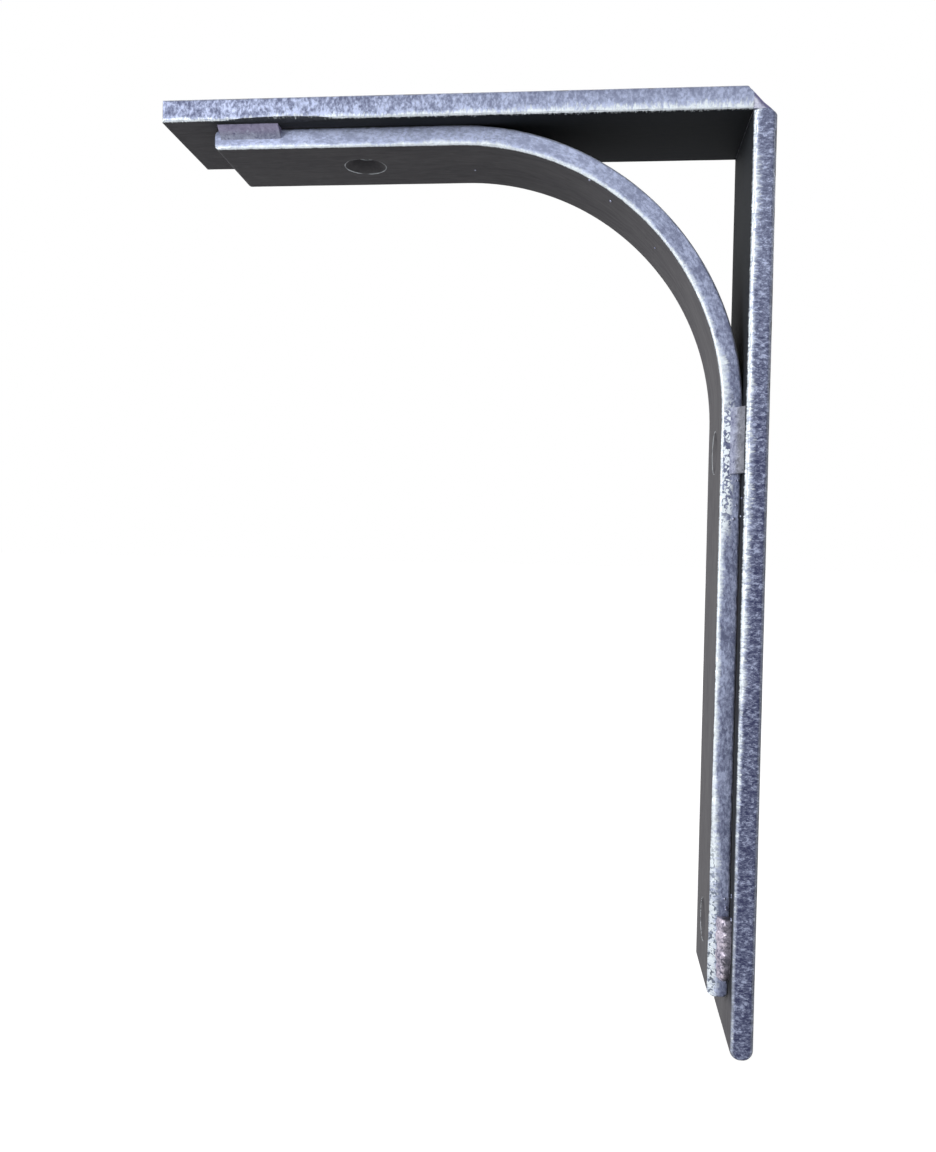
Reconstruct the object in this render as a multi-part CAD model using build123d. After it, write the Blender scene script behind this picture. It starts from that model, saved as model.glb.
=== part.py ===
"""Triangular shelf bracket: two flat steel bars welded into an L, with a curved brace bar
welded and screwed across the corner.

The wall is on the +X side and the shelf lies on top, so +Z is up and the shelf reaches out
towards -X. The origin is midway between the two wall screws, on the wall face, in the middle
of the brace's width. All sizes are in millimetres.
"""
import os
from math import atan2, cos, radians, sin, tan

from build123d import *

# Bars. The brace is narrower than the legs by the front ledge, and flush with their back edges.
leg_thickness = 6.35
leg_width = 38.1
brace_thickness = 5.7
front_ledge = 6.35

# Lengths and places, measured from the wall face, the shelf face and the free ends
top_leg_length = 171.5
wall_leg_length = 264.0
top_tail_setback = 13.3
wall_tail_setback = 14.8
brace_bend_radius = 75.5

# Screw holes, countersunk on the brace side
screw_hole_diameter = 6.6
countersink_diameter = 12.3
countersink_angle = 82.0
wall_screw_spacing = 136.0
shelf_face_to_upper_screw = 96.6
wall_face_to_shelf_screw = 116.8

# Worked edges and ends
edge_ease = 0.5
top_leg_front_ease = 0.8
brace_front_ease = 0.75
wall_leg_front_ease = 1.4
brace_end_round = 1.5
wall_leg_end_round = 2.9

# Flat dressed onto the wall tail's inner front edge, widest at the lower end
dressed_edge_length = 90.0
dressed_edge_on_front = 2.4
dressed_edge_on_side = 1.9

# Bevel ground across the outer corner, in two facets that meet at the break
bevel_on_shelf_face = 8.2
bevel_on_wall_face = 8.0
bevel_break_in = 3.8
bevel_break_down = 4.8

# Shallow scoop ground into the top leg's lower front edge, past the brace's end
scoop_past_brace_end = 21.2
scoop_length = 38.0
scoop_rise = 0.9
scoop_depth = 2.6

# Fillet welds on the ledge in front of the brace
shelf_weld_setback = 2.1
shelf_weld_length = 17.8
shelf_weld_toe_on_brace = 2.95
upper_weld_above_bend_end = 1.85
upper_weld_length = 18.2
upper_weld_edge_gap = 1.75
upper_weld_toe_on_brace = 3.3
lower_weld_setback = 4.7
lower_weld_length = 18.0
lower_weld_edge_gap = 2.75
lower_weld_tongue_radius = 2.2
lower_weld_tongue_drift = 1.3
lower_weld_taper_start = 0.55
ripple_pitch = 1.7
ripple_swing = 0.35

# Places that the pieces share
shelf_z = shelf_face_to_upper_screw + wall_screw_spacing / 2
bottom_z = shelf_z - wall_leg_length
free_end_x = -top_leg_length
inner_x = -leg_thickness
inner_z = shelf_z - leg_thickness
brace_width = leg_width - front_ledge
back_y = brace_width / 2
front_y = back_y - leg_width
leg_middle_y = (front_y + back_y) / 2
brace_front_y = -brace_width / 2
brace_outer_radius = brace_bend_radius + brace_thickness
brace_top_end_x = free_end_x + top_tail_setback
brace_bottom_end_z = bottom_z + wall_tail_setback
upper_screw_z = shelf_z - shelf_face_to_upper_screw
lower_screw_z = upper_screw_z - wall_screw_spacing
bend_end_z = inner_z - brace_outer_radius
scoop_x = brace_top_end_x + scoop_past_brace_end
shelf_screw_x = -wall_face_to_shelf_screw
beyond = 2 * leg_width


def bar_from_profile(sketch, width, middle_y):
    """Extrude a side profile to a bar of the given width, centred on middle_y."""
    bar = extrude(sketch, amount=width / 2, both=True)
    return Pos(0, middle_y, 0) * bar


def ease_sides(bar, front_ease, joint_face=None):
    """Round the edges of a bar's front and back faces, but not those at its welded joint."""
    for side, radius in ((0, front_ease), (-1, edge_ease)):
        loop = bar.faces().sort_by(Axis.Y)[side].edges()
        if joint_face is not None:
            joint = bar.faces().sort_by(joint_face)[-1].edges()
            loop = [edge for edge in loop if edge not in joint]
        bar = fillet(loop, radius)
    return bar


def round_end(bar, end_axis, radius):
    """Round the two cross edges at the end of a bar that lies furthest back along end_axis."""
    cross_edges = bar.edges().filter_by(Axis.Y).group_by(end_axis)[0]
    return fillet(cross_edges, radius)


def screw_hole(head_centre, driven):
    """A clearance hole with its countersink, cut from head_centre in the direction driven."""
    sink_depth = (countersink_diameter - screw_hole_diameter) / 2 / tan(radians(countersink_angle / 2))
    place = Plane(origin=head_centre, z_dir=driven)
    sink = Cone(countersink_diameter / 2, screw_hole_diameter / 2, sink_depth,
                align=(Align.CENTER, Align.CENTER, Align.MIN))
    shank = Cylinder(screw_hole_diameter / 2, beyond, align=(Align.CENTER, Align.CENTER, Align.MIN))
    return place * (sink + shank)


def all_screw_holes():
    """The shelf screw's hole and the two wall screws' holes, through brace and legs."""
    under_brace_z = inner_z - brace_thickness
    beside_brace_x = inner_x - brace_thickness
    holes = [screw_hole((shelf_screw_x, 0, under_brace_z), (0, 0, 1))]
    for screw_z in (upper_screw_z, lower_screw_z):
        holes.append(screw_hole((beside_brace_x, 0, screw_z), (1, 0, 0)))
    return holes


def corner_bevel_waste():
    """The corner stock outside the two ground facets."""
    with BuildSketch(Plane.XZ) as waste:
        with BuildLine():
            Polyline(
                (-bevel_on_shelf_face, shelf_z),
                (-bevel_break_in, shelf_z - bevel_break_down),
                (0, shelf_z - bevel_on_wall_face),
                (leg_thickness, shelf_z - bevel_on_wall_face),
                (leg_thickness, shelf_z + leg_thickness),
                (-bevel_on_shelf_face, shelf_z + leg_thickness),
                close=True,
            )
        make_face()
    return bar_from_profile(waste.sketch, beyond, leg_middle_y)


def edge_scoop():
    """The round-faced cut of a grinding disc laid almost flat against the leg's underside."""
    slope = atan2(scoop_rise, scoop_depth)
    sagitta = scoop_rise * cos(slope)
    disc_radius = ((scoop_length / 2) ** 2 + sagitta ** 2) / (2 * sagitta)
    axis_y = front_y - disc_radius * sin(slope)
    axis_z = inner_z + scoop_rise - disc_radius * cos(slope)
    place = Plane(origin=(scoop_x, axis_y, axis_z), z_dir=(0, cos(slope), -sin(slope)))
    return place * Cylinder(disc_radius, beyond)


def dressed_edge_waste():
    """A long thin pyramid, whose one side cuts the flat on the wall tail's inner front edge.

    Its point is where the flat starts. Its base is level with the wall leg's lower end, past
    the brace's end, and is bigger than the flat there in proportion.
    """
    height = dressed_edge_length + wall_tail_setback
    across = dressed_edge_on_front * height / dressed_edge_length
    deep = dressed_edge_on_side * height / dressed_edge_length
    with BuildSketch() as base:
        with BuildLine():
            Polyline((2 * across, -deep), (-across, 2 * deep), (-across, -deep), close=True)
        make_face()
    edge_foot = Pos(inner_x - brace_thickness, brace_front_y, bottom_z)
    return edge_foot * loft([base.sketch.face(), Vertex(0, 0, height)])


def make_top_leg():
    """The flat bar under the shelf, from its free end to the corner joint."""
    with BuildSketch(Plane.XZ) as side:
        with Locations(((free_end_x + inner_x) / 2, (shelf_z + inner_z) / 2)):
            Rectangle(inner_x - free_end_x, leg_thickness)
    bar = bar_from_profile(side.sketch, leg_width, leg_middle_y)
    return ease_sides(bar, top_leg_front_ease, joint_face=Axis.X) - edge_scoop()


def make_wall_leg():
    """The flat bar against the wall, with its lower end ground to a round nose."""
    with BuildSketch(Plane.XZ) as side:
        with Locations((inner_x / 2, (inner_z + bottom_z) / 2)):
            Rectangle(leg_thickness, inner_z - bottom_z)
    bar = bar_from_profile(side.sketch, leg_width, leg_middle_y)
    bar = round_end(bar, Axis.Z, min(wall_leg_end_round, 0.46 * leg_thickness))
    return ease_sides(bar, wall_leg_front_ease, joint_face=Axis.Z)


def make_curved_brace():
    """The narrower bar, bent a quarter turn, with a straight tail along each leg."""
    under_z = inner_z - brace_thickness
    beside_x = inner_x - brace_thickness
    with BuildSketch(Plane.XZ) as side:
        with BuildLine():
            outside = FilletPolyline(
                (brace_top_end_x, inner_z), (inner_x, inner_z), (inner_x, brace_bottom_end_z),
                radius=brace_outer_radius,
            )
            inside = FilletPolyline(
                (brace_top_end_x, under_z), (beside_x, under_z), (beside_x, brace_bottom_end_z),
                radius=brace_bend_radius,
            )
            Line(outside @ 0, inside @ 0)
            Line(outside @ 1, inside @ 1)
        make_face()
    bar = bar_from_profile(side.sketch, brace_width, 0)
    end_round = min(brace_end_round, 0.45 * brace_thickness)
    for end_axis in (Axis.X, Axis.Z):
        bar = round_end(bar, end_axis, end_round)
    return ease_sides(bar, brace_front_ease) - dressed_edge_waste()


def make_corner_weld():
    """Weld metal that fills the open corner where the two bars meet edge to edge."""
    with BuildSketch(Plane.XZ) as fill:
        with Locations((inner_x / 2, (shelf_z + inner_z) / 2)):
            Rectangle(leg_thickness, leg_thickness)
    return bar_from_profile(fill.sketch, leg_width, leg_middle_y)


def ground_fillet(toe_on_leg, toe_on_brace, length):
    """A fillet weld ground to one flat face, with its root at the origin and its run along +Z.

    The leg's face is the plane X = 0 and the brace's front is the plane Y = 0. The root goes
    a little past both, so that it fills the brace's eased edge.
    """
    with BuildSketch() as section:
        with BuildLine():
            Polyline(
                (0, -toe_on_leg),
                (-toe_on_brace, 0),
                (-toe_on_brace, brace_front_ease),
                (brace_front_ease, brace_front_ease),
                (brace_front_ease, -toe_on_leg),
                close=True,
            )
        make_face()
    return extrude(section.sketch, amount=length)


def make_shelf_tail_weld():
    """The ground fillet under the top leg, between its scooped edge and the brace."""
    weld = ground_fillet(front_ledge - scoop_depth, shelf_weld_toe_on_brace, shelf_weld_length)
    corner = (brace_top_end_x + shelf_weld_setback + shelf_weld_length, brace_front_y, inner_z)
    place = Plane(origin=corner, x_dir=(0, 0, 1), z_dir=(-1, 0, 0))
    return place * weld


def make_upper_wall_weld():
    """The ground fillet on the wall leg where the brace's curve runs out."""
    weld = ground_fillet(front_ledge - upper_weld_edge_gap, upper_weld_toe_on_brace, upper_weld_length)
    lower_end_z = bend_end_z + upper_weld_above_bend_end - upper_weld_length
    return Pos(inner_x, brace_front_y, lower_end_z) * weld


def make_lower_wall_weld():
    """The bead left as welded near the brace's lower end: a run of overlapping ripples.

    It starts square at the top, runs down the corner and ends in a smaller tongue that has
    drifted out over the brace.
    """
    start_z = brace_bottom_end_z + lower_weld_setback + lower_weld_length
    run = lower_weld_length - lower_weld_tongue_radius
    bead_radius = front_ledge - lower_weld_edge_gap
    ripples = round(run / ripple_pitch)
    bead = None
    for step in range(ripples + 1):
        share = step / ripples
        taper = max(0.0, share - lower_weld_taper_start) / (1 - lower_weld_taper_start)
        swing = ripple_swing * sin(2.4 * step) * (1 - taper)
        radius = bead_radius + swing + (lower_weld_tongue_radius - bead_radius) * taper
        centre = (inner_x - lower_weld_tongue_drift * taper, brace_front_y, start_z - share * run)
        ripple = Pos(*centre) * Sphere(radius)
        bead = ripple if bead is None else bead + ripple
    corner = Pos(inner_x, brace_front_y, start_z)
    open_side = Box(beyond, beyond, beyond, align=(Align.MAX, Align.MAX, Align.MAX))
    return bead & (corner * open_side)


def seat(weld, *neighbours):
    """Cut a weld back to the faces of the pieces that it joins."""
    for neighbour in neighbours:
        weld = weld - neighbour
    return weld


def build():
    """Make every piece, cut what passes through several of them and return them by name."""
    bevel = corner_bevel_waste()
    holes = all_screw_holes()
    top_leg = make_top_leg() - bevel - holes[0]
    wall_leg = make_wall_leg() - bevel - holes[1] - holes[2]
    brace = make_curved_brace() - holes[0] - holes[1] - holes[2]
    return {
        "top_leg": top_leg,
        "wall_leg": wall_leg,
        "curved_brace": brace,
        "corner_weld": seat(make_corner_weld() - bevel, top_leg, wall_leg),
        "shelf_tail_weld": seat(make_shelf_tail_weld(), top_leg, brace),
        "upper_wall_weld": seat(make_upper_wall_weld(), wall_leg, brace),
        "lower_wall_weld": seat(make_lower_wall_weld(), wall_leg, brace),
    }


os.makedirs("parts", exist_ok=True)
for name, piece in build().items():
    piece.label = name
    export_step(piece, f"parts/{name}.step")
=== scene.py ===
"""Triangular shelf bracket: the finish of its steel bars and welds, and a plain studio around it.

Each bar is laid out straight on the bench, cut to a fine mesh, dented and marked with wear and
with painted shade, and then bent back to its place. Lengths are in metres, and MM turns
millimetres into metres.
"""

from dataclasses import dataclass
from math import atan2, ceil, cos, floor, hypot, pi, radians, sin
from random import Random

import bmesh
import bpy
from bpy.props import FloatProperty, FloatVectorProperty, IntProperty, PointerProperty
from mathutils import Matrix, Vector, noise


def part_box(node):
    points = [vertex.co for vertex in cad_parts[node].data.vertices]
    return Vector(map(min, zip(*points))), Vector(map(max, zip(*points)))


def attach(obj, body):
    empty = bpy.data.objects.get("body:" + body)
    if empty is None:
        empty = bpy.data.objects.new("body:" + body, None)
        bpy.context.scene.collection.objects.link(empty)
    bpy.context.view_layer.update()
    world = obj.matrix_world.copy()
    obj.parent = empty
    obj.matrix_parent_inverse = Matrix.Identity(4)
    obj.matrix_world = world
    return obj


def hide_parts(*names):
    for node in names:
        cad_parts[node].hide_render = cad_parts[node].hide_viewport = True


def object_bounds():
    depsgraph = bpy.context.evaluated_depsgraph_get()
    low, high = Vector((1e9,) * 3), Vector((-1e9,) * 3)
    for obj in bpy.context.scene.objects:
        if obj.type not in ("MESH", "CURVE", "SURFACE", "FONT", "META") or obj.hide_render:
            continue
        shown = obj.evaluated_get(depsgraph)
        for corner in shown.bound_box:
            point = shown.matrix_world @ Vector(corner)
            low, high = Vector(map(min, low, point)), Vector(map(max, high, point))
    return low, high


bl_info = {
    "name": "Triangular shelf bracket",
    "version": (1, 0, 0),
    "blender": (4, 5, 0),
    "location": "3D View > Sidebar > Bracket",
    "description": "Gives a welded steel shelf bracket its worn finish and a plain studio",
    "category": "Object",
}

MM = 0.001
SNAP = 0.001 * MM
NOWHERE = 1e4  # a place on the bench that is past every bar's end, in millimetres

# Where a mark on a bar starts and where it is full, or the other way round.
STRIP_FADE = (0.9, 1.6)      # distance from the front face, in front strips
FRONT_FACING = (0.25, 0.75)  # how far a spot faces the front
SLANTED = (0.2, 0.6)         # how far it faces two ways, as a rounded edge does
EDGE_REACH = (1.1, 1.6)      # distance from a long edge, in millimetres
WORN_REACH = (0.6, 1.6)      # distance from the inner front edge, in worn widths
NICKED = (0.05, 0.5)         # noise that makes a nick
# Painted shade: the legs' scale is darkened near the corner, where the bars shade each other.
PAINTED_SHADE_REACH = (90 * MM, 165 * MM)  # distance from the corner
FARTHEST = 9.0               # the largest distance that is kept, in worn widths

# A screw hole's rim is an edge sharper than RIM_ANGLE that lies RIM_MARGIN inside the outline.
RIM_ANGLE = radians(28)
RIM_MARGIN = 3 * MM
FLAT_ANGLE = radians(0.5)

BAR_SPECULAR = 0.06
WELD_SPECULAR = 0.2
BUMP_DISTANCE = 0.12 * MM

# Which way each weld runs out, and how far its toe reaches across the weld in the corner.
TOE_WAYS = {"corner_weld": (-1, 0, -1), "shelf_tail_weld": (0, 0, -1),
            "upper_wall_weld": (-1, 0, 0), "lower_wall_weld": (-1, 0, 0)}
# Beyond this share of the corner weld its colour is painted shade.
CORNER_TOE = 0.6

# Drops of spatter on the brace's inner face, on the bench and in millimetres.
SPATTER_ON_BRACE = ((3.5, 3.9, 0), (41.0, -14.9, 0), (48.5, -8.7, 0), (66.9, -3.1, 0),
                    (142.5, -15.6, 0.4))
SPATTER_SEED = 11
SPATTER_BELOW = 16 * MM      # how far below the upper wall weld the other drops lie
SPATTER_ABOVE = 9 * MM       # how far above the lower one

FLOOR_SIZE = 30.0
# Each lamp's name, place and size, and the property with its power.
LAMPS = (("key_lamp", (-0.95, -0.8, 0.42), 0.8, "key_power"),
         ("fill_lamp", (0.35, -1.1, 0.1), 0.9, "fill_power"),
         ("back_lamp", (0.8, 0.9, 0.6), 0.8, "back_power"))

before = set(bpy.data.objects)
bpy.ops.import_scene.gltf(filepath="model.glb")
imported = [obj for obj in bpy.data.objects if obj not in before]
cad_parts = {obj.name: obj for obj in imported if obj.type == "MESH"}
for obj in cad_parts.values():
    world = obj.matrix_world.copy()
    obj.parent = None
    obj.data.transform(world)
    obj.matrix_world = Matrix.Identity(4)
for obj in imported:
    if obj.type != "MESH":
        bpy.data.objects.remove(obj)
cad_low, cad_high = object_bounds()


def srgb(red, green, blue):
    """A screen colour, 0 to 255 a channel, as the linear values that shaders use."""
    def linear(channel):
        part = channel / 255
        return part / 12.92 if part <= 0.04045 else ((part + 0.055) / 1.055) ** 2.4
    return linear(red), linear(green), linear(blue)


def length(name, description, size_mm):
    """A property that holds a length, with its default in millimetres."""
    return FloatProperty(name=name, description=description, default=size_mm * MM, min=0,
                         unit="LENGTH", subtype="DISTANCE", precision=5)


def colour(name, description, red, green, blue):
    """A property that holds a colour, with its default as a screen colour."""
    return FloatVectorProperty(name=name, description=description, subtype="COLOR", size=3,
                               min=0, max=1, default=srgb(red, green, blue))


def share(name, description, default, most=1.0):
    """A property that holds a plain number."""
    return FloatProperty(name=name, description=description, default=default, min=0, max=most)


class BracketSteel(bpy.types.PropertyGroup):
    """Sizes and colours of the steel's surface."""

    fine_step: length("Fine mesh", "Mesh size on the narrow front faces", 0.55)
    coarse_step: length("Coarse mesh", "Mesh size on the wide faces", 2.2)
    front_strip: length("Front strip", "How far round the front edges the fine mesh reaches", 2.2)
    hole_rim: length("Hole rim", "Bevel on the rims of the screw holes", 0.22)
    worn_width: length("Worn width", "Width of the bare strip along an inner front edge", 1.0)
    flat_width: length("Flat width", "Width of the bare strip on the flat at the brace's foot", 2.0)
    grain_size: length("Grain size", "Spacing of the winding marks on the front faces", 1.1)
    grain_depth: length("Grain depth", "Depth of those marks", 0.07)
    nick_size: length("Nick size", "Spacing of nicks along the worn edges", 1.9)
    nick_depth: length("Nick depth", "Depth of those nicks", 0.2)
    wave_depth: length("Wave depth", "Unevenness of the rolled faces", 0.05)
    # The front-face colours carry a blue-lilac tint that is painted reflection of a bright sky,
    # over the steel's own grey mottling.
    edge_light: colour("Light edge steel", "Light part of the bars' front faces", 188, 198, 228)
    edge_dark: colour("Dark edge steel", "Dark part of the bars' front faces", 52, 55, 88)
    # Worn bare steel, painted near-white so that it also stands in for the reflection on the bare
    # metal.
    worn_and_painted_sheen: colour("Worn steel", "Bare bright steel along the arrises", 226, 234, 240)
    scale_light: colour("Light mill scale", "Light part of the rolled faces", 122, 121, 124)
    scale_dark: colour("Dark mill scale", "Dark part of the rolled faces", 88, 87, 92)
    # Painted shade: the legs' scale in the corner and on the ledge beside the brace, which lie in
    # shade.
    scale_painted_shade: colour("Mill scale in painted shade", "Rolled faces at the corner and beside the brace",
                        40, 43, 48)
    pit_dark: colour("Pits", "The floor of pits in worn steel", 74, 84, 100)


class BracketWeld(bpy.types.PropertyGroup):
    """Sizes and colours of the welds."""

    weld_step: length("Weld mesh", "Mesh size on the welds", 0.3)
    lump_size: length("Lump size", "Spacing of the lumps on the bead left as laid", 1.6)
    lump_depth: length("Lump depth", "Depth of the hollows between those lumps", 0.35)
    spatter_count: IntProperty(name="Spatter", description="Drops of spatter around the welds",
                               default=14, min=0, max=400)
    spatter_size: length("Spatter size", "Largest radius of a drop of spatter", 0.44)
    pink_light: colour("Pinkish weld", "Light part of the shelf's weld", 186, 180, 212)
    pink_dark: colour("Pinkish weld marks", "Dark part of that weld", 122, 119, 148)
    grey_light: colour("Grey weld", "Light part of the upper wall weld", 160, 162, 172)
    grey_dark: colour("Grey weld marks", "Dark part of that weld", 88, 92, 104)
    corner_light: colour("Corner weld", "Light part of the corner's weld", 234, 238, 250)
    corner_dark: colour("Corner weld marks", "Dark part of that weld", 170, 170, 200)
    # Painted shade: the corner weld darkens towards its outer edge, which turns away from the
    # light.
    corner_painted_shade: colour("Corner weld edge", "The corner's weld towards the cut outer edge",
                        110, 107, 140)
    toe_light: colour("Weld toe", "Light part of a ground weld where it runs out", 206, 212, 232)
    toe_dark: colour("Weld toe marks", "Dark part of it there", 92, 94, 128)
    bead_light: colour("Weld bead", "Light part of the bead left as laid", 236, 226, 240)
    bead_dark: colour("Weld bead hollows", "Dark part of that bead", 108, 106, 130)
    shade_light: colour("Shaded bead", "Light part of that bead beside the leg", 130, 126, 138)
    shade_dark: colour("Shaded bead hollows", "Dark part of it there", 64, 64, 76)


class BracketStudio(bpy.types.PropertyGroup):
    """The plain studio, and the camera."""

    lens: FloatProperty(name="Lens", description="Focal length on a 36 mm sensor, in millimetres",
                        default=33.79, min=1)
    camera_place: FloatVectorProperty(name="Camera", description="Where the camera stands",
                                      subtype="TRANSLATION", unit="LENGTH", size=3,
                                      default=(-47.686 * MM, -320.558 * MM, 35.749 * MM))
    camera_turn: FloatVectorProperty(name="Camera turn", description="How the camera is turned",
                                     subtype="EULER", unit="ROTATION", size=3,
                                     default=(radians(89.0877), radians(-1.2475), radians(6.353)))
    key_power: share("Key lamp", "Power of the large lamp at the front left, in watts", 12, 1000)
    fill_power: share("Fill lamp", "Power of the lamp at the front right, in watts", 2.2, 1000)
    back_power: share("Back lamp", "Power of the lamp behind the bracket, in watts", 6, 1000)
    sky_light: share("Sky", "Even light from all round", 0.22, 10)
    floor_glow: share("Floor", "How far the floor near the bracket is lifted towards white", 0.9)
    floor_fade: length("Floor fade", "How far off the floor turns plain white", 900)
    floor_colour: colour("Floor colour", "Colour of the plain pale floor", 156, 156, 156)


class StraightBar:
    """A straight bar, laid on the bench by one matrix."""

    def __init__(self, to_bench):
        self.to_bench = to_bench

    def lay_flat(self, bm):
        bmesh.ops.transform(bm, matrix=self.to_bench, verts=bm.verts)

    def put_back(self, bm):
        bmesh.ops.transform(bm, matrix=self.to_bench.inverted(), verts=bm.verts)


class BentBar:
    """A bar bent a quarter turn from a shelf tail along X to a wall tail down Z.

    On the bench x is 0 where the bend starts, and z is 0 on the inside of the bend.
    """

    def __init__(self, bm):
        high_x = max(vert.co.x for vert in bm.verts)
        low_z = min(vert.co.z for vert in bm.verts)
        high_z = max(vert.co.z for vert in bm.verts)
        tail = [vert.co.x for vert in bm.verts if vert.co.z < (low_z + high_z) / 2]
        thickness = high_x - min(tail)
        self.centre_x = max(vert.co.x for vert in bm.verts if vert.co.z > high_z - SNAP)
        self.outside_radius = high_x - self.centre_x
        self.centre_z = high_z - self.outside_radius
        self.inside_radius = self.outside_radius - thickness
        self.middle_radius = self.outside_radius - thickness / 2
        self.bend_length = self.middle_radius * pi / 2

    def flat(self, place):
        right = place.x - self.centre_x
        up = place.z - self.centre_z
        if right <= 0:
            return Vector((right, place.y, up - self.inside_radius))
        if up <= 0:
            return Vector((self.bend_length - up, place.y, right - self.inside_radius))
        along = atan2(right, up) * self.middle_radius
        return Vector((along, place.y, hypot(right, up) - self.inside_radius))

    def bent(self, place):
        out = place.z + self.inside_radius
        if place.x <= 0:
            return Vector((self.centre_x + place.x, place.y, self.centre_z + out))
        if place.x >= self.bend_length:
            return Vector((self.centre_x + out, place.y,
                           self.centre_z + self.bend_length - place.x))
        angle = place.x / self.middle_radius
        return Vector((self.centre_x + out * sin(angle), place.y,
                       self.centre_z + out * cos(angle)))

    def lay_flat(self, bm):
        for vert in bm.verts:
            vert.co = self.flat(vert.co)

    def put_back(self, bm):
        for vert in bm.verts:
            vert.co = self.bent(vert.co)


def joined_copy(node_name):
    """The mesh of a CAD node, with its loose triangles joined at their shared corners."""
    bm = bmesh.new()
    bm.from_mesh(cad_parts[node_name].data)
    bmesh.ops.remove_doubles(bm, verts=bm.verts, dist=SNAP)
    bmesh.ops.recalc_face_normals(bm, faces=bm.faces)
    return bm


def smooth_step(low, high, value):
    """0 below low, 1 above high, and a smooth rise between them."""
    part = min(1.0, max(0.0, (value - low) / (high - low)))
    return part * part * (3 - 2 * part)


def winding_marks(place, size):
    """Near 1 along winding lines about one size apart, and 0 between them."""
    sharpness = 4.5
    return max(0.0, 1 - sharpness * abs(noise.noise(place / size)))


def slice_faces(bm, faces, axis, step):
    """Cut faces by planes square to an axis and one step apart.

    Each plane cuts only what lies past the plane before it.
    """
    normal = Vector((0, 0, 0))
    normal[axis] = 1
    spots = [vert.co[axis] for face in faces for vert in face.verts]
    ahead = list(faces)
    for count in range(ceil(min(spots) / step), floor(max(spots) / step) + 1):
        edges = list({edge for face in ahead for edge in face.edges})
        verts = list({vert for face in ahead for vert in face.verts})
        cut = bmesh.ops.bisect_plane(bm, geom=ahead + edges + verts, dist=SNAP,
                                     plane_co=normal * count * step, plane_no=normal)
        ahead = [item for item in cut["geom"] if isinstance(item, bmesh.types.BMFace)
                 and item.calc_center_median()[axis] > count * step]


def faces_by_depth(bm, depth):
    """The faces in front of a depth and those behind it."""
    front = [face for face in bm.faces if face.calc_center_median().y < depth]
    back = [face for face in bm.faces if face.calc_center_median().y >= depth]
    return front, back


def mesh_bar(bm, steel):
    """Cut a bar on the bench to a fine mesh round its front face and a coarse one elsewhere."""
    front_y = min(vert.co.y for vert in bm.verts)
    depth = front_y + steel.front_strip
    everything = bm.verts[:] + bm.edges[:] + bm.faces[:]
    bmesh.ops.bisect_plane(bm, geom=everything, dist=SNAP,
                           plane_co=(0, depth, 0), plane_no=(0, 1, 0))
    for axis in (0, 1, 2):
        front, back = faces_by_depth(bm, depth)
        slice_faces(bm, front, axis, steel.fine_step)
        slice_faces(bm, back, axis, steel.coarse_step)
    bmesh.ops.dissolve_degenerate(bm, dist=2 * SNAP, edges=bm.edges[:])


def round_rims(bm, size):
    """Round the rims of the screw holes, and mark the middle of each rounded rim."""
    bmesh.ops.dissolve_limit(bm, angle_limit=FLAT_ANGLE, verts=bm.verts[:], edges=bm.edges[:],
                             use_dissolve_boundaries=False, delimit={"NORMAL"})
    lows = [min(vert.co[axis] for vert in bm.verts) + RIM_MARGIN for axis in (0, 1)]
    highs = [max(vert.co[axis] for vert in bm.verts) - RIM_MARGIN for axis in (0, 1)]
    rims = [edge for edge in bm.edges if edge.calc_face_angle() > RIM_ANGLE and all(
        lows[axis] < vert.co[axis] < highs[axis] for vert in edge.verts for axis in (0, 1))]
    made = bmesh.ops.bevel(bm, geom=rims, offset=size, offset_type="OFFSET", affect="EDGES",
                           segments=2, profile=0.5, material=-1, clamp_overlap=False)
    rim_layer = bm.verts.layers.float.new("rim")
    rim_faces = set(made["faces"])
    for vert in bm.verts:
        if rim_faces.issuperset(vert.link_faces):
            vert[rim_layer] = 1.0


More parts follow.
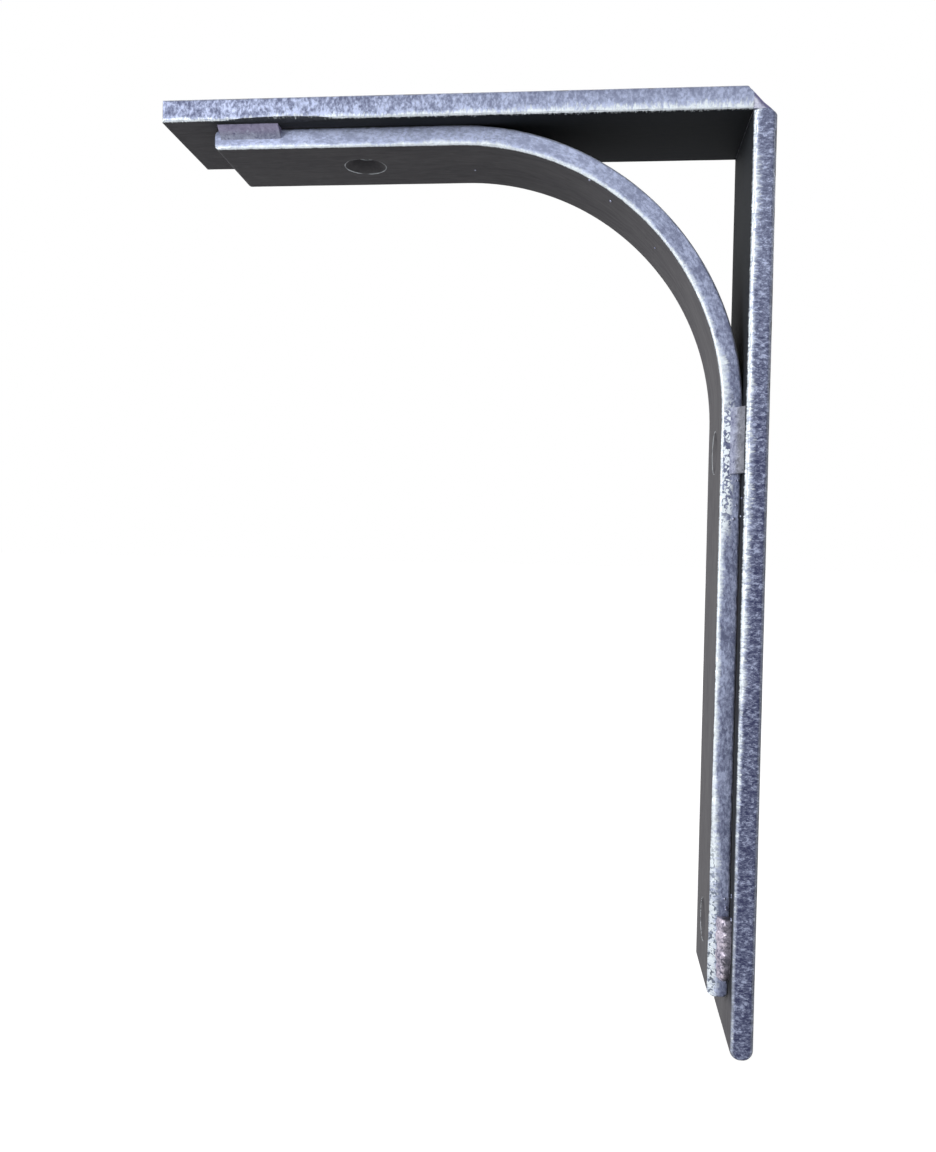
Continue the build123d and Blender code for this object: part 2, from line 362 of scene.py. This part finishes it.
def mark_bar(bm, steel, worn_width, burnt):
    """Dent a bar on the bench, and mark its vertices for the material.

    arris is the distance from the inner front edge in worn widths, ground how far a spot is part
    of the front face, rubbed how far it is on another long edge, the painted shade layer how far
    painted shade of the corner darkens its scale, and bench where it lies on the straight bar, in
    millimetres. worn_width and the painted shade are asked for each place.
    """
    arris_layer, ground_layer, rubbed_layer, painted_shade_layer = (
        bm.verts.layers.float.new(name) for name in ("arris", "ground", "rubbed", "burnt"))
    bench_layer = bm.verts.layers.float_vector.new("bench")
    low_x, front_y, _ = (min(vert.co[axis] for vert in bm.verts) for axis in range(3))
    high_x, back_y, thickness = (max(vert.co[axis] for vert in bm.verts) for axis in range(3))
    bm.normal_update()
    moves = []
    for vert in bm.verts:
        place = vert.co.copy()
        facing = vert.normal
        from_front = place.y - front_y
        along = (place.x - low_x) / (high_x - low_x)
        near_front = 1 - smooth_step(*STRIP_FADE, from_front / steel.front_strip)
        in_front = near_front * smooth_step(*FRONT_FACING, -facing.y)
        from_edge = hypot(min(from_front, back_y - place.y), min(place.z, thickness - place.z))
        slant = smooth_step(*SLANTED, min(abs(facing.y), hypot(facing.x, facing.z)))
        slant *= 1 - smooth_step(*EDGE_REACH, from_edge / MM)
        uneven = 1 + 0.5 * noise.noise(place / (10 * MM)) + 0.3 * noise.noise(place / (3.5 * MM))
        from_arris = hypot(from_front, place.z) / (worn_width(along) * uneven)
        worn = 1 - smooth_step(*WORN_REACH, from_arris)
        marks = winding_marks(place, steel.grain_size) * 0.6
        marks += winding_marks(place, 2.3 * steel.grain_size) * 0.4
        nicks = smooth_step(*NICKED, noise.noise(place / steel.nick_size))
        waves = 0.5 + 0.5 * noise.noise(place / (9 * steel.grain_size))
        depth = in_front * steel.grain_depth * marks
        depth += max(slant, 0.6 * worn) * steel.nick_depth * nicks
        depth += (1 - in_front) * steel.wave_depth * waves
        moves.append((vert, place - facing * depth))
        vert[arris_layer] = min(from_arris, FARTHEST)
        vert[ground_layer] = in_front
        vert[rubbed_layer] = slant
        # painted shade of the corner and of the brace on the legs
        vert[painted_shade_layer] = burnt(place)
        vert[bench_layer] = place / MM
    for vert, place in moves:
        vert.co = place


def finish_piece(bm, name, nodes, material, sharp_angle=42):
    """Turn a bmesh into a piece that stands for CAD nodes, with its place in its mesh."""
    mesh = bpy.data.meshes.new(name)
    bm.to_mesh(mesh)
    bm.free()
    mesh.materials.append(material)
    mesh.shade_smooth()
    mesh.set_sharp_from_angle(angle=radians(sharp_angle))
    piece = bpy.data.objects.new(name, mesh)
    bpy.context.scene.collection.objects.link(piece)
    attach(piece, "root")
    if nodes:
        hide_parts(*nodes)
    return piece


class Graph:
    """Short words for building a node tree."""

    def __init__(self, tree):
        self.tree = tree

    def add(self, kind, inputs=None, **settings):
        """A node, with its settings and its input sockets filled or linked by name or number."""
        node = self.tree.nodes.new(kind)
        for name, value in settings.items():
            setattr(node, name, value)
        for name, value in (inputs or {}).items():
            self.feed(node.inputs[name], value)
        return node

    def feed(self, socket, value):
        """Link a socket to another, or set its value."""
        if isinstance(value, bpy.types.NodeSocket):
            self.tree.links.new(value, socket)
        else:
            socket.default_value = value

    def math(self, operation, first, second=0.0, clamp=False):
        node = self.add("ShaderNodeMath", {0: first, 1: second}, operation=operation,
                        use_clamp=clamp)
        return node.outputs[0]

    def product(self, first, *others):
        """The product of two or more values."""
        for other in others:
            first = self.math("MULTIPLY", first, other)
        return first

    def mix_value(self, factor, first, second):
        return self.add("ShaderNodeMix", {0: factor, 2: first, 3: second}).outputs[0]

    def mix_colour(self, factor, first, second):
        node = self.add("ShaderNodeMix", {0: factor, 6: first, 7: second}, data_type="RGBA")
        return node.outputs[2]

    def ramp(self, value, low, high, to_low=0.0, to_high=1.0):
        """A smooth step between two values."""
        node = self.add("ShaderNodeMapRange", {"Value": value, "From Min": low, "From Max": high,
                                               "To Min": to_low, "To Max": to_high},
                        interpolation_type="SMOOTHSTEP")
        return node.outputs["Result"]

    def noise(self, place, scale, detail=2.0, roughness=0.5, distortion=0.0):
        node = self.add("ShaderNodeTexNoise", {"Vector": place, "Scale": scale, "Detail": detail,
                                               "Roughness": roughness, "Distortion": distortion})
        return node.outputs["Fac"]

    def stretch(self, place, factors):
        node = self.add("ShaderNodeVectorMath", {0: place, 1: factors}, operation="MULTIPLY")
        return node.outputs[0]

    def attribute(self, name, output="Fac"):
        return self.add("ShaderNodeAttribute", attribute_name=name).outputs[output]


def new_group(name, inputs, outputs):
    """An empty node group with named sockets: the graph, inputs and outputs inside it."""
    tree = bpy.data.node_groups.new(name, "ShaderNodeTree")
    for socket, kind, default in inputs:
        made = tree.interface.new_socket(name=socket, in_out="INPUT", socket_type=kind)
        if default is not None:
            made.default_value = default
    for socket, kind in outputs:
        tree.interface.new_socket(name=socket, in_out="OUTPUT", socket_type=kind)
    graph = Graph(tree)
    entry = tree.nodes.new("NodeGroupInput")
    exit_node = tree.nodes.new("NodeGroupOutput")
    return graph, entry.outputs, exit_node.inputs


def existing_group(name, make):
    """The group of that name, made the first time that it is asked for."""
    return bpy.data.node_groups.get(name) or make(name)


def make_mottle(name):
    """Two-tone mottling: winding marks over slow clouds, on a place in millimetres."""
    graph, given, made = new_group(
        name,
        [("Place", "NodeSocketVector", None), ("Mark Spacing", "NodeSocketFloat", 1.0),
         ("Cloud Spacing", "NodeSocketFloat", 9.0), ("Contrast", "NodeSocketFloat", 1.0),
         ("Winding", "NodeSocketFloat", 0.9)],
        [("Tone", "NodeSocketFloat"), ("Height", "NodeSocketFloat")],
    )
    mark_scale = graph.math("DIVIDE", 1.0, given["Mark Spacing"])
    cloud_scale = graph.math("DIVIDE", 1.0, given["Cloud Spacing"])
    marks = graph.noise(given["Place"], mark_scale, detail=4.0, roughness=0.62,
                        distortion=given["Winding"])
    clouds = graph.noise(given["Place"], cloud_scale, detail=3.0)
    both = graph.math("ADD", graph.product(marks, 0.62), graph.product(clouds, 0.38))
    spread = graph.product(graph.math("SUBTRACT", both, 0.5), given["Contrast"], 3.2)
    tone = graph.math("ADD", spread, 0.5, clamp=True)
    graph.feed(made["Tone"], tone)
    graph.feed(made["Height"], marks)
    return graph.tree


def make_pits(name):
    """Scattered round pits: 1 on their floor, 0 around them."""
    graph, given, made = new_group(
        name,
        [("Place", "NodeSocketVector", None), ("Spacing", "NodeSocketFloat", 1.5),
         ("Share", "NodeSocketFloat", 0.3)],
        [("Pit", "NodeSocketFloat")],
    )
    scale = graph.math("DIVIDE", 1.0, given["Spacing"])
    cells = graph.add("ShaderNodeTexVoronoi", {"Vector": given["Place"], "Scale": scale})
    draw = graph.add("ShaderNodeSeparateColor", {0: cells.outputs["Color"]}).outputs[0]
    chosen = graph.math("LESS_THAN", draw, given["Share"])
    round_spot = graph.ramp(cells.outputs["Distance"], 0.34, 0.2)
    graph.feed(made["Pit"], graph.product(round_spot, chosen))
    return graph.tree


def group_node(graph, name, make, inputs):
    """Place a shared group in a material."""
    node = graph.add("ShaderNodeGroup")
    node.node_tree = existing_group(name, make)
    for socket, value in inputs.items():
        graph.feed(node.inputs[socket], value)
    return node.outputs


def new_material(name):
    """A material with its graph and its Principled shader."""
    material = bpy.data.materials.new(name)
    material.use_nodes = True
    graph = Graph(material.node_tree)
    return material, graph, material.node_tree.nodes["Principled BSDF"]


def rgba(colour_property):
    """A colour property as the four values of a colour socket."""
    return (*colour_property, 1.0)


@dataclass
class BarLook:
    """How a bar's front face looks. Places and spacings are in millimetres on the bench."""

    painted_light_span: tuple          # two places along the bar, between which the painted light changes
    tones: tuple              # how light the face is there: painted light and shade that change along the bar
    depth_span: tuple         # two other places along the bar
    depths: tuple             # how strong the marks are there
    grain: tuple              # what the marks are stretched by
    spacing: float            # how far apart the marks are
    winding: float            # how much they bend
    painted_glint: float              # how far painted glints lift the lightest marks
    clouds: float             # how far apart the light and dark clouds are
    comb: float               # how ragged the bare strip is
    pale_reach: float         # how far the strip fades out, in worn widths
    outer_painted_shade_tone: float         # how light the outer edge is beside the rest: painted shade where it turns from the light
    scuffed: tuple = (NOWHERE, NOWHERE)  # where winding bare marks beside the strip start and end
    pitted_from: float = NOWHERE         # from where on the bare strip is deeply pitted


@dataclass
class WeldLook:
    """How a weld looks. Tones are a light and a dark colour property."""

    tones: tuple              # of most of it
    toe_tones: tuple          # of the toe, where it runs out
    contrast: float           # how strong the marks are
    spacing: float            # how far apart they are, in millimetres
    metallic: float           # how far it reflects as bare metal
    roughness: float          # of the lightest marks


def scuff_mask(graph, look, split, ground):
    """1 on the part of a bar's front face that has winding bare marks, and 0 elsewhere."""
    scuffed_from, scuffed_to = look.scuffed
    along = graph.product(graph.ramp(split["X"], scuffed_from - 5, scuffed_from + 5),
                          graph.ramp(split["X"], scuffed_to + 8, scuffed_to - 8))
    across = graph.product(graph.ramp(split["Z"], 0.2, 0.9), graph.ramp(split["Z"], 3.9, 2.5))
    return graph.product(along, across, ground)


def front_level(graph, look, split, tone, arris, streaks):
    """How light a bar's front face is between its dark and its light colour, with painted light and
    shade along the bar and on its outer edge, and painted glints.
    """
    # Painted light and shade: lighter or darker along the bar as the light falls, and darker at the
    # outer edge.
    painted_light_and_shade = graph.product(graph.ramp(split["X"], *look.painted_light_span, *look.tones),
                          graph.ramp(split["Z"], 4.2, 6.2, 1.0, look.outer_painted_shade_tone))
    depth = graph.ramp(split["X"], *look.depth_span, *look.depths)
    swing = graph.product(graph.ramp(tone, 0.0, 1.0, -1.0, 1.0), depth)
    level = graph.product(painted_light_and_shade, graph.math("ADD", swing, 1.0))
    beside_strip = graph.product(graph.ramp(arris, look.pale_reach, 0.9), 0.34,
                                 graph.ramp(streaks, 0.3, 0.62))
    # Painted highlights: the lightest marks are lifted as glints.
    painted_glints = graph.product(graph.ramp(tone, 0.6, 1.0), look.painted_glint)
    return graph.math("ADD", graph.math("ADD", level, beside_strip), painted_glints, clamp=True)


def bare_mask(graph, look, place, ground, arris, streaks):
    """1 where a bar is worn bare: a ragged strip, its long edges and the rims of its holes."""
    ragged = graph.math("ADD", arris, graph.product(graph.math("SUBTRACT", streaks, 0.5),
                                                    look.comb))
    ragged = graph.math("ADD", ragged, graph.ramp(ground, 0.0, 0.7, 0.7, 0.0))
    strip = graph.ramp(ragged, 1.8, 0.4)
    edges = graph.product(graph.attribute("rubbed"), 0.2)
    patchy = graph.ramp(graph.noise(place, 0.3), 0.32, 0.56, 0.1, 0.9)
    rims = graph.product(graph.ramp(graph.attribute("rim"), 0.2, 0.8), patchy)
    return graph.math("MAXIMUM", strip, graph.math("MAXIMUM", edges, rims))


def add_bump(graph, shader, height, strength):
    bump = graph.add("ShaderNodeBump", {"Height": height, "Strength": strength,
                                        "Distance": BUMP_DISTANCE})
    graph.feed(shader.inputs["Normal"], bump.outputs["Normal"])


def bar_material(name, steel, look):
    """Hot-rolled bar: mill scale on the wide faces, darkened by painted shade in the corner,
    mottled edge steel, and bright worn arrises whose near-white is partly painted reflection.
    """
    material, graph, shader = new_material(name)
    place = graph.attribute("bench", "Vector")
    split = graph.add("ShaderNodeSeparateXYZ", {0: place}).outputs
    ground = graph.attribute("ground")
    arris = graph.attribute("arris")
    fine = group_node(graph, "Mottle", make_mottle,
                      {"Place": graph.stretch(place, look.grain), "Mark Spacing": look.spacing,
                       "Cloud Spacing": look.clouds, "Contrast": 1.35, "Winding": look.winding})
    rolled = group_node(graph, "Mottle", make_mottle,
                        {"Place": graph.stretch(place, (0.22, 1.0, 1.0)), "Mark Spacing": 1.6,
                         "Cloud Spacing": 14.0, "Contrast": 0.7})
    streaks = graph.noise(graph.stretch(place, (1.0, 0.35, 0.35)), 1.7, detail=4.0,
                          roughness=0.65)
    squiggles = graph.noise(place, 0.9, distortion=1.0)
    scuffs = scuff_mask(graph, look, split, ground)

    level = graph.product(front_level(graph, look, split, fine["Tone"], arris, streaks),
                          graph.mix_value(scuffs, 1.0, 0.55))
    edge_colour = graph.mix_colour(level, rgba(steel.edge_dark), rgba(steel.edge_light))
    scale_colour = graph.mix_colour(rolled["Tone"], rgba(steel.scale_dark),
                                    rgba(steel.scale_light))
    # Painted shade darkens the scale in the corner and on the ledge beside the brace.
    scale_colour = graph.mix_colour(graph.attribute("burnt"), scale_colour,
                                    rgba(steel.scale_painted_shade))
    body_colour = graph.mix_colour(ground, scale_colour, edge_colour)

    bare = graph.mix_value(scuffs, bare_mask(graph, look, place, ground, arris, streaks),
                           graph.ramp(squiggles, 0.45, 0.55))
    pits = graph.product(
        graph.ramp(split["X"], look.pitted_from - 12, look.pitted_from + 12, 0.15, 0.9),
        graph.ramp(squiggles, 0.49, 0.43))
    # bare steel: real wear, its near-white partly painted reflection
    bare_colour = graph.mix_colour(pits, rgba(steel.worn_and_painted_sheen), rgba(steel.pit_dark))
    roughness = graph.mix_value(ground, 0.7, graph.ramp(fine["Tone"], 0.0, 1.0, 0.6, 0.45))
    relief = graph.math("SUBTRACT", graph.mix_value(ground, rolled["Height"], fine["Height"]),
                        graph.product(pits, bare))

    graph.feed(shader.inputs["Base Color"], graph.mix_colour(bare, body_colour, bare_colour))
    graph.feed(shader.inputs["Metallic"], graph.mix_value(bare, graph.product(ground, 0.4), 0.5))
    graph.feed(shader.inputs["Roughness"], graph.mix_value(bare, roughness, 0.46))
    add_bump(graph, shader, relief, 0.45)
    shader.inputs["Specular IOR Level"].default_value = BAR_SPECULAR
    return material


def weld_material(name, look):
    """Weld metal mottled between a light and a dark tone, and between two others at its toe."""
    material, graph, shader = new_material(name)
    place = graph.attribute("bench", "Vector")
    fine = group_node(graph, "Mottle", make_mottle,
                      {"Place": place, "Mark Spacing": look.spacing, "Cloud Spacing": 5.0,
                       "Contrast": look.contrast, "Winding": 0.9})
    pits = group_node(graph, "Pits", make_pits, {"Place": place, "Spacing": 1.1, "Share": 0.2})
    tone = graph.math("SUBTRACT", fine["Tone"], graph.product(pits["Pit"], 0.4 * look.contrast),
                      clamp=True)
    light, dark = map(rgba, look.tones)
    toe_light, toe_dark = map(rgba, look.toe_tones)
    ragged = graph.math("ADD", graph.attribute("toe"), graph.product(
        graph.math("SUBTRACT", fine["Tone"], 0.5), 0.4))
    colour_here = graph.mix_colour(graph.ramp(ragged, 0.3, 0.75),
                                   graph.mix_colour(tone, dark, light),
                                   graph.mix_colour(tone, toe_dark, toe_light))
    graph.feed(shader.inputs["Base Color"], colour_here)
    graph.feed(shader.inputs["Roughness"],
               graph.ramp(tone, 0.0, 1.0, look.roughness + 0.15, look.roughness))
    shader.inputs["Metallic"].default_value = look.metallic
    shader.inputs["Specular IOR Level"].default_value = WELD_SPECULAR
    add_bump(graph, shader, fine["Height"], 0.4)
    return material


class BRACKET_OT_dress_legs(bpy.types.Operator):
    """Replace the two straight legs by worn and mottled bars"""

    bl_idname = "bracket.dress_legs"
    bl_label = "Dress the legs"

    def execute(self, context):
        steel = context.scene.bracket_steel
        shelf_steel = bar_material("top_leg_steel", steel, BarLook(
            painted_light_span=(-171, -150), tones=(0.42, 0.6), depth_span=(-130, -30),
            depths=(0.6, 0.28), grain=(1.0, 1.0, 0.7), spacing=0.8, winding=0.4, painted_glint=0.1,
            clouds=2.2, comb=5.0, pale_reach=3.0, outer_painted_shade_tone=0.8))
        wall_steel = bar_material("wall_leg_steel", steel, BarLook(
            painted_light_span=(-130, -60), tones=(0.36, 0.19), depth_span=(-130, -60),
            depths=(0.5, 0.8), grain=(1.0, 0.55, 0.55), spacing=0.48, winding=0.7, painted_glint=0.35,
            clouds=1.2, comb=4.5, pale_reach=2.6, outer_painted_shade_tone=0.65))
        top_low, top_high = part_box("top_leg")
        wall_low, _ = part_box("wall_leg")
        brace_low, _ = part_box("curved_brace")
        on_shelf = StraightBar(Matrix.Translation((0, 0, -top_low.z)))
        on_wall = StraightBar(Matrix(((0, 0, -1, 0), (0, 1, 0, 0), (1, 0, 0, -wall_low.x),
                                      (0, 0, 0, 1))))

        def painted_corner_shade(corner, brace_end):
            """Painted shade on the scale inside the corner, and beside the brace as far as its end.
            """
            def burnt(place):
                inner = 1 - smooth_step(2 * MM, 5 * MM, place.z)
                at_corner = 1 - smooth_step(*PAINTED_SHADE_REACH, abs(corner - place.x))
                on_ledge = 1 - smooth_step(-1 * MM, 3 * MM, place.y - brace_low.y)
                towards_corner = abs(corner - brace_end) - abs(corner - place.x)
                on_ledge *= smooth_step(-2 * MM, 4 * MM, towards_corner)
                return inner * max(at_corner, 0.9 * on_ledge)
            return burnt

        def shelf_width(along):
            """Widest at the corner."""
            return steel.worn_width * (0.6 + 0.7 * along)

        def wall_width(along):
            """Narrowest at the foot."""
            return steel.worn_width * (1.15 - 0.75 * smooth_step(0.45, 0.9, along))

        for node, bar, material, width, burnt in (
                ("top_leg", on_shelf, shelf_steel, shelf_width,
                 painted_corner_shade(top_high.x, brace_low.x)),
                ("wall_leg", on_wall, wall_steel, wall_width,
                 painted_corner_shade(-top_low.z, -brace_low.z))):
            bm = joined_copy(node)
            bar.lay_flat(bm)
            round_rims(bm, steel.hole_rim)
            mesh_bar(bm, steel)
            mark_bar(bm, steel, width, burnt)
            bar.put_back(bm)
            finish_piece(bm, node + "_steel", [node], material)
        return {"FINISHED"}


class BRACKET_OT_dress_brace(bpy.types.Operator):
    """Replace the curved brace by a worn bar that is bright along its inner arris"""

    bl_idname = "bracket.dress_brace"
    bl_label = "Dress the brace"

    def execute(self, context):
        steel = context.scene.bracket_steel
        material = bar_material("brace_steel", steel, BarLook(
            painted_light_span=(-20, 120), tones=(0.82, 0.4), depth_span=(20, 150), depths=(0.25, 0.5),
            grain=(0.55, 1.0, 1.0), spacing=0.6, winding=0.3, painted_glint=0.1, clouds=4.0, comb=3.0,
            pale_reach=2.0, outer_painted_shade_tone=1.0, scuffed=(120, 154), pitted_from=246))
        bm = joined_copy("curved_brace")
        bar = BentBar(bm)
        bar.lay_flat(bm)
        round_rims(bm, steel.hole_rim)
        mesh_bar(bm, steel)

        def width(along):
            """Widest on the flat at the foot, and wider than elsewhere beside the upper weld."""
            beside_weld = smooth_step(0.43, 0.52, along) - smooth_step(0.64, 0.74, along)
            plain = steel.worn_width * (0.8 + 0.5 * beside_weld)
            return plain + (steel.flat_width - plain) * max(0, along - 0.77) / 0.23

        mark_bar(bm, steel, width, lambda place: 0.0)
        bar.put_back(bm)
        finish_piece(bm, "curved_brace_steel", ["curved_brace"], material)
        return {"FINISHED"}


class BRACKET_OT_dress_welds(bpy.types.Operator):
    """Replace the welds by ground and rippled weld metal"""

    bl_idname = "bracket.dress_welds"
    bl_label = "Dress the welds"

    def execute(self, context):
        weld = context.scene.bracket_weld
        toe = (weld.toe_light, weld.toe_dark)
        pink = weld_material("shelf_weld", WeldLook(
            tones=(weld.pink_light, weld.pink_dark), toe_tones=toe,
            contrast=0.75, spacing=1.3, metallic=0.3, roughness=0.45))
        grey = weld_material("upper_weld", WeldLook(
            tones=(weld.grey_light, weld.grey_dark), toe_tones=toe,
            contrast=0.75, spacing=1.3, metallic=0.3, roughness=0.5))
        # The corner weld is in painted shade except at its toe.
        corner = weld_material("corner_weld", WeldLook(
            tones=(weld.corner_painted_shade, weld.corner_painted_shade),
            toe_tones=(weld.corner_light, weld.corner_dark),
            contrast=0.8, spacing=1.3, metallic=0.3, roughness=0.5))
        laid = weld_material("laid_weld", WeldLook(
            tones=(weld.shade_light, weld.shade_dark),
            toe_tones=(weld.bead_light, weld.bead_dark),
            contrast=1.2, spacing=1.2, metallic=0.45, roughness=0.36))
        for node, material in (("corner_weld", corner), ("shelf_tail_weld", pink),
                               ("upper_wall_weld", grey), ("lower_wall_weld", laid)):
            raw = node == "lower_wall_weld"
            bm = joined_copy(node)
            for axis in (0, 1, 2):
                slice_faces(bm, bm.faces[:], axis, weld.weld_step)
            self.mark_weld(bm, weld, node, raw)
            finish_piece(bm, node + "_metal", [node], material)
        return {"FINISHED"}

    def mark_weld(self, bm, weld, node, raw):
        """Dent a weld where it is open to view, and give its vertices their place and their toe."""
        bench_layer = bm.verts.layers.float_vector.new("bench")
        toe_layer = bm.verts.layers.float.new("toe")
        toe_way = Vector(TOE_WAYS[node])
        reaches = [vert.co.dot(toe_way) for vert in bm.verts]
        nearest, farthest = min(reaches), max(reaches)
        if node == "corner_weld":
            farthest = nearest + CORNER_TOE * (farthest - nearest)
        bm.normal_update()
        depth = weld.lump_depth if raw else 0.2 * weld.lump_depth
        for vert in bm.verts:
            place = vert.co.copy()
            vert[bench_layer] = place / MM
            vert[toe_layer] = (place.dot(toe_way) - nearest) / (farthest - nearest)
            open_side = smooth_step(0.1, 0.5, -vert.normal.y)
            hollow = 0.5 + 0.5 * noise.noise(place / weld.lump_size)
            vert.co = place - vert.normal * depth * hollow * open_side


class BRACKET_OT_throw_spatter(bpy.types.Operator):
    """Add the drops of spatter that the welding left on the brace and the wall leg"""

    bl_idname = "bracket.throw_spatter"
    bl_label = "Throw the spatter"

    def execute(self, context):
        weld = context.scene.bracket_weld
        chance = Random(SPATTER_SEED)
        brace = joined_copy("curved_brace")
        bar = BentBar(brace)
        brace.free()
        places = [bar.bent(Vector(spot) * MM) for spot in SPATTER_ON_BRACE]
        places += [self.place_by_weld(chance) for _ in range(weld.spatter_count)]
        bm = bmesh.new()
        bench_layer = bm.verts.layers.float_vector.new("bench")
        for place in places:
            bmesh.ops.create_icosphere(bm, subdivisions=2, matrix=Matrix.Translation(place),
                                       radius=weld.spatter_size * chance.uniform(0.6, 1))
        for vert in bm.verts:
            vert[bench_layer] = vert.co / MM
        toe = (weld.toe_light, weld.toe_dark)
        steel = weld_material("spatter_steel", WeldLook(
            tones=toe, toe_tones=toe, contrast=1.0, spacing=1.0, metallic=0.5, roughness=0.35))
        finish_piece(bm, "weld_spatter", [], steel)
        return {"FINISHED"}

    def place_by_weld(self, chance):
        """A place near one of the two wall welds, on the brace's front or on the wall leg."""
        wall_low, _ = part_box("wall_leg")
        brace_low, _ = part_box("curved_brace")
        upper_low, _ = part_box("upper_wall_weld")
        _, lower_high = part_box("lower_wall_weld")
        if chance.random() < 0.5:
            height = upper_low.z - SPATTER_BELOW * chance.random() ** 1.5
        else:
            height = lower_high.z + SPATTER_ABOVE - SPATTER_ABOVE * chance.random() ** 1.5
        if chance.random() < 0.6:
            return wall_low.x - chance.uniform(0.8, 2.5) * MM, brace_low.y, height
        return wall_low.x, brace_low.y - chance.uniform(0.8, 4.2) * MM, height


class BRACKET_OT_set_stage(bpy.types.Operator):
    """Build the pale floor, the soft lamps and the camera"""

    bl_idname = "bracket.set_stage"
    bl_label = "Set the stage"

    def execute(self, context):
        studio = context.scene.bracket_studio
        self.lay_floor(studio)
        self.light_world(context.scene, studio)
        middle = (cad_low + cad_high) / 2
        for name, place, size, power in LAMPS:
            self.hang_lamp(name, place, middle, size, getattr(studio, power))
        self.place_camera(context.scene, studio)
        context.scene.view_settings.view_transform = "Standard"
        return {"FINISHED"}

    def seen_mask(self, graph):
        """1 for what the camera sees, also in a mirror or through glass, 0 for bounced light."""
        rays = graph.add("ShaderNodeLightPath").outputs
        seen = graph.math("MAXIMUM", rays["Is Camera Ray"], rays["Is Glossy Ray"])
        return graph.math("MAXIMUM", seen, rays["Is Transmission Ray"])

    def lay_floor(self, studio):
        bm = bmesh.new()
        bmesh.ops.create_grid(bm, x_segments=1, y_segments=1, size=FLOOR_SIZE)
        bmesh.ops.translate(bm, verts=bm.verts, vec=(0, 0, cad_low.z))
        mesh = bpy.data.meshes.new("studio_floor")
        bm.to_mesh(mesh)
        bm.free()
        material, graph, shader = new_material("pale_floor")
        shader.inputs["Base Color"].default_value = rgba(studio.floor_colour)
        shader.inputs["Roughness"].default_value = 0.9
        shader.inputs["Specular IOR Level"].default_value = 0.0
        shader.inputs["Emission Color"].default_value = (1, 1, 1, 1)
        place = graph.add("ShaderNodeTexCoord").outputs["Object"]
        distance = graph.add("ShaderNodeVectorMath", {0: place}, operation="LENGTH")
        lift = graph.ramp(distance.outputs["Value"], 0.2 * studio.floor_fade, studio.floor_fade,
                          studio.floor_glow, 1.0)
        glow = graph.product(self.seen_mask(graph), lift)
        graph.feed(shader.inputs["Emission Strength"], glow)
        mesh.materials.append(material)
        floor_piece = bpy.data.objects.new("studio_floor", mesh)
        bpy.context.scene.collection.objects.link(floor_piece)

    def light_world(self, scene, studio):
        world = bpy.data.worlds.new("studio_sky")
        world.use_nodes = True
        graph = Graph(world.node_tree)
        background = world.node_tree.nodes["Background"]
        background.inputs["Color"].default_value = (1, 1, 1, 1)
        graph.feed(background.inputs["Strength"],
                   graph.mix_value(self.seen_mask(graph), studio.sky_light, 1.0))
        scene.world = world

    def hang_lamp(self, name, place, target, size, power):
        lamp = bpy.data.lights.new(name, "AREA")
        lamp.shape = "DISK"
        lamp.size = size
        lamp.energy = power
        holder = bpy.data.objects.new(name, lamp)
        bpy.context.scene.collection.objects.link(holder)
        holder.location = place
        holder.rotation_euler = (target - Vector(place)).to_track_quat("-Z", "Y").to_euler()

    def place_camera(self, scene, studio):
        camera = bpy.data.cameras.new("camera")
        camera.lens = studio.lens
        camera.sensor_width = 36
        camera.clip_start = 0.01
        camera.clip_end = 100
        holder = bpy.data.objects.new("camera", camera)
        scene.collection.objects.link(holder)
        holder.location = studio.camera_place
        holder.rotation_euler = studio.camera_turn
        scene.camera = holder


OPERATORS = (BRACKET_OT_dress_legs, BRACKET_OT_dress_brace, BRACKET_OT_dress_welds,
             BRACKET_OT_throw_spatter, BRACKET_OT_set_stage)


class BRACKET_PT_sidebar(bpy.types.Panel):
    """Lists the bracket's settings and the steps that build it"""

    bl_idname = "BRACKET_PT_sidebar"
    bl_label = "Shelf bracket"
    bl_space_type = "VIEW_3D"
    bl_region_type = "UI"
    bl_category = "Bracket"

    def draw(self, context):
        for settings in (context.scene.bracket_steel, context.scene.bracket_weld,
                         context.scene.bracket_studio):
            box = self.layout.box()
            for name in settings.__annotations__:
                box.prop(settings, name)
        for operator in OPERATORS:
            self.layout.operator(operator.bl_idname)


CLASSES = (BracketSteel, BracketWeld, BracketStudio, *OPERATORS, BRACKET_PT_sidebar)


def register():
    for made in CLASSES:
        bpy.utils.register_class(made)
    bpy.types.Scene.bracket_steel = PointerProperty(type=BracketSteel)
    bpy.types.Scene.bracket_weld = PointerProperty(type=BracketWeld)
    bpy.types.Scene.bracket_studio = PointerProperty(type=BracketStudio)


def unregister():
    del bpy.types.Scene.bracket_studio
    del bpy.types.Scene.bracket_weld
    del bpy.types.Scene.bracket_steel
    for made in reversed(CLASSES):
        bpy.utils.unregister_class(made)


def main():
    register()
    bpy.ops.bracket.dress_legs()
    bpy.ops.bracket.dress_brace()
    bpy.ops.bracket.dress_welds()
    bpy.ops.bracket.throw_spatter()
    bpy.ops.bracket.set_stage()


if __name__ == "__main__":
    main()
